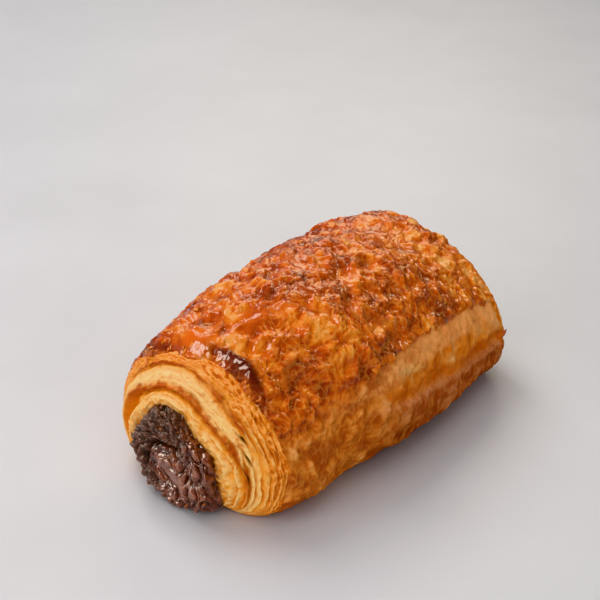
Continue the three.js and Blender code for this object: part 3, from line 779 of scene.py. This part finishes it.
def make_chocolate(near_rows=170, run_rows=6, far_rows=70, round_count=390):
    """The chocolate: near nose, straight run through the channel, far nose, and a fan at each tip."""
    angle = round_angles(round_count)[None, :]
    near_step = 1 - np.linspace(NOSE_FIRST_STEP, 1, near_rows)[:, None] ** NOSE_CROWDING + 0 * angle
    far_step = 1 - np.linspace(1, NOSE_FIRST_STEP, far_rows)[:, None] ** NOSE_CROWDING + 0 * angle
    near, near_fields = nose_surface(NEAR, NEAR_NOSE, near_step, angle + 0 * near_step)
    far, far_fields = nose_surface(FAR, FAR_NOSE, far_step, angle + 0 * far_step)
    run = lerp(near[-1], far[0], np.linspace(0, 1, run_rows + 2)[1:-1, None, None])
    grid = np.concatenate([near, run, far])
    points = np.concatenate([grid.reshape(-1, 3), [near[0].mean(0), far[-1].mean(0)]])
    attributes = {}
    for key, near_values in near_fields.items():
        values = np.concatenate([near_values, np.zeros(run.shape[:2]), far_fields[key]]).ravel()
        attributes[key] = np.concatenate([values, values[[0, -1]]])
    faces = [ring_faces(len(grid), round_count, False), end_fans(len(grid), round_count)]
    return build_mesh("chocolate_run", points, faces, attributes)


# ------------------------------------------------------------------ flakes and crumbs
FLAKE_THICKNESS = 0.14
FLAKE_ROWS, FLAKE_COLUMNS = 9, 8
FLAKE_CLEARANCES = np.array([0.12, 0.04])                # heights kept by a sheet's top and bottom
# Kinds of flakes: how many, and the lowest and highest y, angle, length, width, way, lift and shade.
FLAKE_KINDS = dict(
    crown=(40, (-46, 46), (48, 150), (0.8, 2.2), (0.8, 2.4), (-180, 180), (0.1, 0.35), (0.35, 0.9)),
    near_rim=(44, (-49, -44.5), (30, 130), (0.5, 1.2), (0.6, 1.8), (-120, -60), (0.1, 0.3), (0.1, 0.8)),
    far_rim=(34, (44, 50), (20, 150), (1.0, 2.4), (0.8, 2.6), (60, 120), (0.15, 0.5), (0.3, 0.9)),
)
# Flakes along the wash edge: these have a y of their own and lie near the edge's angle.
EDGE_FLAKES = (30, (0.6, 1.4), (0.8, 3.0), (150, 210), (0.05, 0.2), (0.2, 0.6))
EDGE_FLAKES_Y, EDGE_FLAKES_ABOVE = (-16, 46), 1.5
ROLL_RADIUS = 33                                         # turns a way round the roll into an angle
SINGLE_FLAKES = [                                        # y, angle, length, width, way, lift, shade
    (41.5, 82, 4.5, 3.6, 80, 0.35, 0.85),
    (42.4, 2, 3.4, 3.0, 80, 2.8, 0.45),
    (-1.0, 15, 3.4, 1.5, 84, 0.25, 1.0),
]


def skin_at(y, angle):
    """Point of the skin at a distance along the roll, round the rounded ends as well, and the outward way."""
    straight, setback = end_plane(angle) - end_setback(angle), end_setback(angle)
    end = np.sign(y)
    tilt = np.arcsin(np.clip((np.abs(y) - straight) / setback, 0, 0.85))
    point, _ = skin_surface(tilt * 2 / np.pi, np.where(tilt > 0, end, y / straight), angle)
    return point, outward(tilt, end, angle)


def closed_sheets(points, normal, lift):
    """Vertices and quads of thin closed sheets. Each is a grid lifted off a surface along its normal; top and
    bottom lie half a thickness from the middle, less at the border, and a strip joins them."""
    count, rows, columns = points.shape[:3]
    u = np.sin(np.linspace(0, np.pi, rows))[:, None] * np.sin(np.linspace(0, np.pi, columns))[None, :]
    half = 0.5 * FLAKE_THICKNESS * (0.3 + 0.7 * np.sqrt(u))
    vertices = np.stack([points + normal * (lift + side * half)[..., None] for side in (1, -1)], 1)
    vertices[..., 2] = np.maximum(vertices[..., 2], FLAKE_CLEARANCES[:, None, None])
    size = rows * columns
    grid = np.arange(size).reshape(rows, columns)
    quad = np.stack([grid[:-1, :-1], grid[1:, :-1], grid[1:, 1:], grid[:-1, 1:]], -1).reshape(-1, 4)
    border = np.concatenate([grid[0, :-1], grid[:-1, -1], grid[-1, :0:-1], grid[:0:-1, 0]])
    after = np.roll(border, -1)
    strip = np.stack([border, after, after + size, border + size], -1)
    one = np.concatenate([quad, quad[:, ::-1] + size, strip])
    return vertices, (one[None] + 2 * size * np.arange(count)[:, None, None]).reshape(-1, 4)


def scattered(random, count, *spans):
    """Flakes of one kind: each of their values is drawn evenly from its own low and high."""
    return np.stack([random.uniform(*span, count) for span in spans], -1)


def make_flakes():
    """Thin flakes that stand off the skin: over the crown, round both rims and along the wash edge. A flake
    starts at its root and runs on in its own way over the skin. It narrows by the square of the way out, is
    ragged by noise, and lifts off as a power of the way out."""
    random = np.random.default_rng(41)
    groups = [scattered(random, *kind) for kind in FLAKE_KINDS.values()]
    count, *spans = EDGE_FLAKES
    edge_y = random.uniform(*EDGE_FLAKES_Y, count)
    edge = scattered(random, count, (0, 0), (0, 0), *spans)
    edge[:, 0] = edge_y
    edge[:, 1] = wash_edge(edge_y / HALF_LENGTH) + EDGE_FLAKES_ABOVE + random.normal(0, 1.0, count)
    flakes = np.concatenate(groups + [edge, np.array(SINGLE_FLAKES)])
    y, at, length, width, way, lift, shade = flakes.T[:, :, None, None]
    out = np.linspace(0, 1, FLAKE_ROWS)[None, :, None]
    side = np.linspace(-1, 1, FLAKE_COLUMNS)[None, None, :]
    own = np.arange(len(flakes))[:, None, None] * 7.3
    seeds = np.stack(np.broadcast_arrays(own, 1.7 * side, 0.8 * out), -1)
    ragged = cloud(seeds, 1.0, 2, 131)
    ahead = length * out * (1 + 0.5 * ragged)
    aside = 0.5 * width * side * (1 - 0.5 * out**2) * (1 + 0.5 * cloud(seeds, 0.9, 2, 132))
    turned = np.radians(way)
    along = ahead * np.sin(turned) + aside * np.cos(turned)
    around = ahead * np.cos(turned) - aside * np.sin(turned)
    points, normal = skin_at(y + along, np.radians(at) + around / ROLL_RADIUS)
    vertices, faces = closed_sheets(points, normal, lift * out**1.5 * (1 + 0.4 * ragged) + 0.02)
    shades = np.broadcast_to((shade + 0.25 * ragged)[:, None], vertices.shape[:-1])
    return build_mesh("flakes", vertices, [faces], dict(shade=shades))


CRUMB_ROWS, CRUMB_ROUND = 9, 14
CRUMB_STRETCH = (1.0, 0.7, 0.8)
CRUMB_CLEARANCE = 0.1


def make_crumbs(count=13):
    """Crumbs stuck to the near chocolate: each is a ball whose radius is changed by noise, closed by fans."""
    random = np.random.default_rng(43)
    step = random.uniform(0.35, 0.98, count)
    angle = np.radians(random.uniform(-150, 120, count))
    centre, _ = nose_surface(NEAR, NEAR_NOSE, step, angle)
    radius = random.uniform(0.15, 0.42, count)
    lat = np.linspace(0, np.pi, CRUMB_ROWS + 2)[1:-1, None]
    lon = np.linspace(0, 2 * np.pi, CRUMB_ROUND, endpoint=False)[None, :]
    ball = np.stack([np.sin(lat) * np.cos(lon), np.sin(lat) * np.sin(lon), np.cos(lat) + 0 * lon], -1)
    ball = np.concatenate([ball.reshape(-1, 3), [(0, 0, 1), (0, 0, -1)]])[None]
    own = np.arange(count)[:, None, None] * 5.1
    rough = radius[:, None] * (1 + 0.55 * cloud(ball * 1.4 + own, 1.5, 2, 141))
    points = centre[:, None] + drawn_out(ball * rough[..., None], *CRUMB_STRETCH)
    points[..., 2] = np.maximum(points[..., 2], CRUMB_CLEARANCE)
    start = ball.shape[1] * np.arange(count)[:, None, None]
    one = (ring_faces(CRUMB_ROWS, CRUMB_ROUND, False), end_fans(CRUMB_ROWS, CRUMB_ROUND))
    faces = [(part[None] + start).reshape(-1, part.shape[1]) for part in one]
    shade = np.broadcast_to(random.uniform(0.1, 0.8, count)[:, None], points.shape[:-1])
    return build_mesh("crumbs", points, faces, dict(shade=shade))


# ------------------------------------------------------------------ materials
def srgb(red, green, blue):
    """A colour given as 0 to 255 screen values, as the linear values that a shader takes."""
    c = np.array([red, green, blue]) / 255
    linear = np.where(c <= 0.04045, c / 12.92, ((c + 0.055) / 1.055) ** 2.4)
    return (*linear, 1.0)


class Recipe:
    """A material being put together from shader nodes. Where a step takes a value, a socket is linked, a name
    stands for the point attribute of that name on the piece, and a number is set as it is."""

    def __init__(self, name):
        """Starts a material with one shader, and with the piece's own coordinates for its noises."""
        self.material = bpy.data.materials.new(name)
        self.material.use_nodes = True
        self.tree = self.material.node_tree
        self.shader = self.tree.nodes["Principled BSDF"]
        self.place = self.tree.nodes.new("ShaderNodeTexCoord").outputs["Object"]

    def fill(self, node, inputs):
        """Gives a node's inputs their values."""
        for key, value in inputs.items():
            if isinstance(value, str):
                value = self.node("Attribute", {}, "Fac", attribute_name=value)
            if isinstance(value, bpy.types.NodeSocket):
                self.tree.links.new(value, node.inputs[key])
            else:
                node.inputs[key].default_value = value

    def node(self, kind, inputs, result, **settings):
        """Adds a node of a kind with its settings and inputs, and returns one of its outputs."""
        node = self.tree.nodes.new("ShaderNode" + kind)
        for key, value in settings.items():
            setattr(node, key, value)
        self.fill(node, inputs)
        return node.outputs[result]

    def times(self, first, second, clamp=False):
        """The product of two values."""
        return self.node("Math", {0: first, 1: second}, 0, operation="MULTIPLY", use_clamp=clamp)

    def plus(self, first, second):
        """The sum of two values."""
        return self.node("Math", {0: first, 1: second}, 0, operation="ADD")

    def swing(self, value, share):
        """A value's distance from a half, times a share."""
        return self.times(self.plus(value, -0.5), share)

    def noise(self, size, detail=4.0, roughness=0.55, distortion=0.0):
        """Procedural noise on object coordinates, with features of `size` millimetres, about 0 to 1."""
        inputs = {"Vector": self.place, "Scale": 1 / (size * MM), "Detail": detail}
        return self.node("TexNoise", {**inputs, "Roughness": roughness, "Distortion": distortion}, "Fac")

    def scale(self, value, low, high, to_low=0.0, to_high=1.0):
        """Maps low..high on to to_low..to_high, held at both ends."""
        span = {"From Min": low, "From Max": high, "To Min": to_low, "To Max": to_high}
        return self.node("MapRange", {"Value": value, **span}, "Result")

    def ramp(self, value, *stops):
        """A colour for each position of a value: stops are (position, red, green, blue)."""
        node = self.tree.nodes.new("ShaderNodeValToRGB")
        ramp = node.color_ramp
        while len(ramp.elements) < len(stops):
            ramp.elements.new(0.5)
        for element, (position, *colour) in zip(ramp.elements, stops):
            element.position = position
            element.color = srgb(*colour)
        self.fill(node, {"Fac": value})
        return node.outputs["Color"]

    def layers(self, colour, *tints):
        """Lays tints over a colour one by one: each is a share, and a socket or a screen colour."""
        for share, tint in tints:
            tint = srgb(*tint) if isinstance(tint, tuple) else tint
            colour = self.node("Mix", {"Factor": share, "A": colour, "B": tint}, "Result", data_type="RGBA")
        return colour

    def bump(self, height, distance, strength=1.0):
        """Bump from a height; distance is in millimetres."""
        inputs = {"Strength": strength, "Distance": distance * MM, "Height": height}
        return self.node("Bump", inputs, "Normal")

    def surface(self, inputs):
        """Gives the shader its inputs, and returns the finished material."""
        self.fill(self.shader, inputs)
        return self.material


def skin_material():
    """Egg-washed skin: orange-brown and glossy where washed, paler and matte on the stretched side."""
    r = Recipe("baked_skin")
    fine = r.noise(1.3, 5.0, 0.62, 0.8)
    speck = r.noise(0.4, 3.0, 0.6)
    patchy = r.scale(fine, 0.35, 0.6, 0.3, 0.9)
    height = r.plus("height", r.swing(fine, r.scale("wash", 0.0, 1.0, 0.15, 0.2)))
    # the tone's lift on the far +X side is painted light
    tone = r.plus(height, r.swing("bake_and_far_side_light", 0.9))
    washed = r.ramp(
        tone, (0.0, 104, 28, 3), (0.25, 146, 50, 5), (0.48, 181, 71, 8), (0.68, 206, 97, 18),
        (0.85, 226, 129, 44), (1.0, 240, 164, 88),
    )
    plain = r.layers(
        r.ramp(tone, (0.0, 184, 82, 16), (0.35, 214, 114, 36), (0.6, 230, 144, 72), (0.95, 244, 180, 120)),
        (r.times("band", r.scale(fine, 0.35, 0.6, 0.5, 0.9)), (252, 176, 114)),
        # painted shade mixed with real dark stains on the near part of the unwashed seam side
        (r.times("near_side_shade_and_stain", r.scale(tone, 0.3, 0.72, 0.9, 0.05)), (154, 72, 44)),
    )
    lower = r.ramp(tone, (0.0, 116, 44, 12), (0.4, 154, 70, 26), (0.7, 174, 90, 52), (1.0, 202, 128, 88))
    rim = r.ramp(fine, (0.35, 168, 66, 14), (0.5, 208, 106, 30), (0.65, 234, 154, 76))
    colour = r.layers(
        plain,
        ("wash", washed),
        ("under", lower),
        (r.times("gap", 0.2), (146, 50, 6)),
        (r.times("crest", 0.4), (238, 174, 104)),
        (r.times("edge", 0.8), rim),
        # painted shade in the dip just above the seam's step
        (r.times("shaded_recess", 0.55), (178, 74, 8)),
        # painted pale mauve highlight along the seam's step, broken up by noise
        (r.times("ledge_highlight", patchy), (214, 144, 104)),
        ("amber", (206, 88, 0)),
        (r.times("arc", r.scale(fine, 0.3, 0.6, 1.0, 1.6), clamp=True), (92, 26, 18)),
        (r.times("torn", r.scale(fine, 0.35, 0.6)), (240, 196, 128)),
    )
    grain = r.plus(fine, r.times(speck, 0.3))
    gritty = r.times(r.scale("wash", 0.0, 1.0, 0.35, 0.8), r.scale("calm", 0.0, 1.0, 1.0, 0.4))
    return r.surface({
        "Base Color": colour,
        "Roughness": r.plus(r.scale("wash", 0.0, 1.0, 0.60, 0.40), r.times(speck, 0.15)),
        "Specular IOR Level": 0.16,
        "Subsurface Weight": 0.08,
        "Subsurface Radius": (1.0, 0.35, 0.12),
        "Subsurface Scale": 1.0 * MM,
        "Coat Weight": r.scale("wash", 0.0, 1.0, 0.02, 0.8),
        "Coat Roughness": r.plus(r.scale(speck, 0.3, 0.7, 0.03, 0.09), r.scale("calm", 0.0, 1.0, 0.07, 0.0)),
        "Normal": r.bump(grain, 0.10, gritty),
    })


def dough_material():
    """Cut dough at the open ends: cream and golden plies, amber in the grooves, browned on the lips, a
    painted glow of light through thin dough in the deep cavity, and painted shade in the slits.
    """
    r = Recipe("layered_dough")
    fine = r.noise(1.4, 5.0, 0.6, 0.4)
    speck = r.noise(0.4, 3.0, 0.6)
    stringy = r.plus(r.times(fine, 0.6), r.times("fibre", 0.25))
    toasted = r.ramp(stringy, (0.28, 160, 62, 14), (0.4, 214, 112, 36), (0.54, 246, 170, 96))
    cream = r.ramp(
        r.plus("cream", r.swing(fine, 0.6)),
        (0.0, 222, 112, 36), (0.3, 241, 147, 60), (0.6, 252, 177, 88), (1.0, 255, 210, 138),
    )
    browned = r.times("lip", r.scale(fine, 0.3, 0.55, 0.6, 1.4), clamp=True)
    colour = r.layers(
        cream,
        (r.times("groove", 0.6), (212, 106, 24)),
        (r.times(r.scale("fibre", 0.1, 0.5, 1.0, 0.0), 0.36), (212, 112, 34)),
        (r.times("streak", r.scale(fine, 0.35, 0.6, 0.2, 0.75)), (190, 88, 30)),
        # painted glow of light shining through the thin dough of the deep cavity
        ("lit_pocket", (248, 160, 44)),
        (browned, r.ramp(fine, (0.4, 140, 50, 14), (0.62, 196, 100, 50))),
        (r.times("rim", 0.8), toasted),
        (r.times("fringe", r.scale(fine, 0.35, 0.6, 0.5, 1.0)), (116, 54, 30)),
        (r.times("low", 0.35), (184, 92, 30)),
        # painted shade: near black in the slits
        ("shaded_slit", (60, 22, 8)),
    )
    return r.surface({
        "Base Color": colour,
        "Roughness": 0.5,
        "Specular IOR Level": 0.14,
        "Subsurface Weight": 0.2,
        "Subsurface Radius": (1.0, 0.5, 0.2),
        "Subsurface Scale": 1.5 * MM,
        "Normal": r.bump(r.plus(fine, r.times(speck, 0.4)), 0.3, 0.8),
    })


def chocolate_material():
    """Melted and set chocolate: reddish brown and glossy, darker and duller where it burnt. Pale mauve on the
    crests of its folds is a painted highlight, and dark in the creases between them and near black in
    crevices are painted shade.
    """
    r = Recipe("set_chocolate")
    fine = r.noise(1.2, 5.0, 0.62, 0.5)
    speck = r.noise(0.45, 3.0, 0.6)
    fold_light_and_tone = r.plus(r.times("fold_light", 0.7), r.times(fine, 0.5))
    # the ramp paints highlights along the crests of the folds and shade in their creases, mixed with a random
    # tone
    glossy = r.ramp(fold_light_and_tone, (0.3, 44, 14, 6), (0.52, 104, 50, 32), (0.68, 142, 84, 62), (0.84, 176, 116, 92))
    burnt = r.ramp(fine, (0.32, 36, 18, 12), (0.52, 108, 70, 56), (0.72, 166, 126, 108))
    height = r.plus(fine, r.times(speck, 0.5))
    return r.surface({
        # near black laid in the crevices is painted shade
        "Base Color": r.layers(glossy, ("burnt", burnt), (r.times("hollow_shade", 0.85), (14, 7, 5))),
        "Roughness": r.scale(speck, 0.35, 0.65, 0.22, 0.42),
        "Coat Weight": r.scale("burnt", 0.0, 1.0, 1.0, 0.35),
        "Coat Roughness": 0.11,
        "Normal": r.bump(height, 0.4, r.scale("burnt", 0.0, 1.0, 0.5, 1.0)),
        "Coat Normal": r.bump(height, 0.1, 0.4),
    })


def flake_material():
    """Thin baked flakes and crumbs: golden to brown, a little glossy."""
    r = Recipe("thin_flake")
    fine = r.noise(1.0, 4.0, 0.6)
    colour = r.ramp(
        r.plus("shade", r.swing(fine, 0.6)),
        (0.0, 150, 62, 14), (0.35, 188, 90, 24), (0.65, 216, 124, 48), (1.0, 236, 168, 96),
    )
    return r.surface({
        "Base Color": colour,
        "Roughness": 0.42,
        "Specular IOR Level": 0.3,
        "Coat Weight": 0.3,
        "Coat Roughness": 0.2,
        "Normal": r.bump(fine, 0.15, 0.6),
    })


def floor_material():
    """Plain pale matte floor with the faintest unevenness."""
    r = Recipe("pale_floor")
    colour = r.ramp(r.noise(60.0, 3.0), (0.3, 188, 187, 191), (0.7, 194, 193, 197))
    return r.surface({"Base Color": colour, "Roughness": 0.5})


# ------------------------------------------------------------------ put together
def dress(piece, material, slot, *nodes):
    """Gives a piece its material and body, and hides the solids that it stands for; the slot is not used."""
    piece.data.materials.append(material)
    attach(piece, "root")
    if nodes:
        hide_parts(*nodes)


crust = skin_material()
for band in make_skin():
    dress(band, crust, "crust", "pastry")
dough = dough_material()
dress(make_end("near_turns", NEAR, rows=146, round_count=620), dough, "crust", "pastry")
dress(make_end("far_turns", FAR, rows=90, round_count=460), dough, "crust", "pastry")
dress(make_chocolate(), chocolate_material(), "chocolate", "chocolate")
flaky = flake_material()
dress(make_flakes(), flaky, "crust")
dress(make_crumbs(), flaky, "crust")


# ------------------------------------------------------------------ floor, light and camera
LIGHT_COLOURS = dict(soft=(1.0, 1.0, 1.0), sheen=(1.0, 0.87, 0.74), warm_sheen=(1.0, 0.89, 0.62))
LIT_POINT = Vector((0, 0, 0.02))
ROOM_COLOUR, ROOM_STRENGTH = (1.0, 0.94, 0.88, 1), 0.2
VIEW_AZIMUTH, VIEW_ELEVATION, VIEW_DISTANCE, VIEW_ANGLE = 38.587, 30.0, 0.361034, 28.0
LOOK_AT = (np.array([-18.81, 17.98, 20.0]) + CENTRING) * MM


def make_floor(half=3.0):
    """A flat square floor just under the roll."""
    mesh = bpy.data.meshes.new("floor")
    corners = [(-half, -half, 0), (half, -half, 0), (half, half, 0), (-half, half, 0)]
    mesh.from_pydata(corners, [], [(0, 1, 2, 3)])
    floor = bpy.data.objects.new("floor", mesh)
    bpy.context.scene.collection.objects.link(floor)
    floor.data.materials.append(floor_material())


def stand(thing, place, facing):
    """Puts a light or the camera in its place, turned so that it looks along `facing`."""
    thing.location = place
    thing.rotation_mode = "QUATERNION"
    thing.rotation_quaternion = facing.to_track_quat("-Z", "Y")
    bpy.context.scene.collection.objects.link(thing)


def area_light(name, place, size, power, kind):
    """A square light turned to the roll, in metres and watts. A "soft" one lights surfaces evenly, and a
    "sheen" or "warm_sheen" one only gives the reflection on what is glossy."""
    data = bpy.data.lights.new(name, "AREA")
    data.shape = "SQUARE"
    data.size = size
    data.energy = power
    data.color = LIGHT_COLOURS[kind]
    light = bpy.data.objects.new(name, data)
    light.visible_glossy = kind != "soft"
    light.visible_diffuse = kind == "soft"
    stand(light, place, LIT_POINT - Vector(place))


def make_camera():
    """The camera: its place is a distance from the look-at point along the view's azimuth and elevation."""
    data = bpy.data.cameras.new("camera")
    data.angle = np.radians(VIEW_ANGLE)
    data.clip_start = 0.01
    camera = bpy.data.objects.new("camera", data)
    azimuth, elevation = np.radians(VIEW_AZIMUTH), np.radians(VIEW_ELEVATION)
    level = np.cos(elevation)
    back = Vector((np.sin(azimuth) * level, -np.cos(azimuth) * level, np.sin(elevation)))
    stand(camera, Vector(LOOK_AT) + VIEW_DISTANCE * back, -back)
    bpy.context.scene.camera = camera


def light_room():
    """A faint warm light from all round."""
    world = bpy.data.worlds.new("studio")
    world.use_nodes = True
    background = world.node_tree.nodes["Background"]
    background.inputs["Color"].default_value = ROOM_COLOUR
    background.inputs["Strength"].default_value = ROOM_STRENGTH
    bpy.context.scene.world = world


make_floor()
make_camera()
light_room()
area_light("key", (-0.50, 0.08, 0.72), 0.45, 4.7, "soft")
area_light("front", (-0.15, -0.85, 0.5), 0.8, 4.5, "soft")
area_light("fill", (0.7, -0.35, 0.5), 0.8, 2.5, "soft")
area_light("top", (0.0, 0.0, 1.0), 0.9, 3.0, "soft")
area_light("left_sheen", (-0.55, 0.18, 0.62), 0.28, 2.0, "sheen")
area_light("back_sheen", (-0.42, 0.62, 0.50), 0.42, 2.2, "warm_sheen")
area_light("front_sheen", (-0.3, -0.7, 0.6), 0.5, 12.0, "sheen")
area_light("crown_sheen", (0.15, 0.61, 0.66), 0.26, 2.0, "warm_sheen")
bpy.context.scene.view_settings.view_transform = "Khronos PBR Neutral"
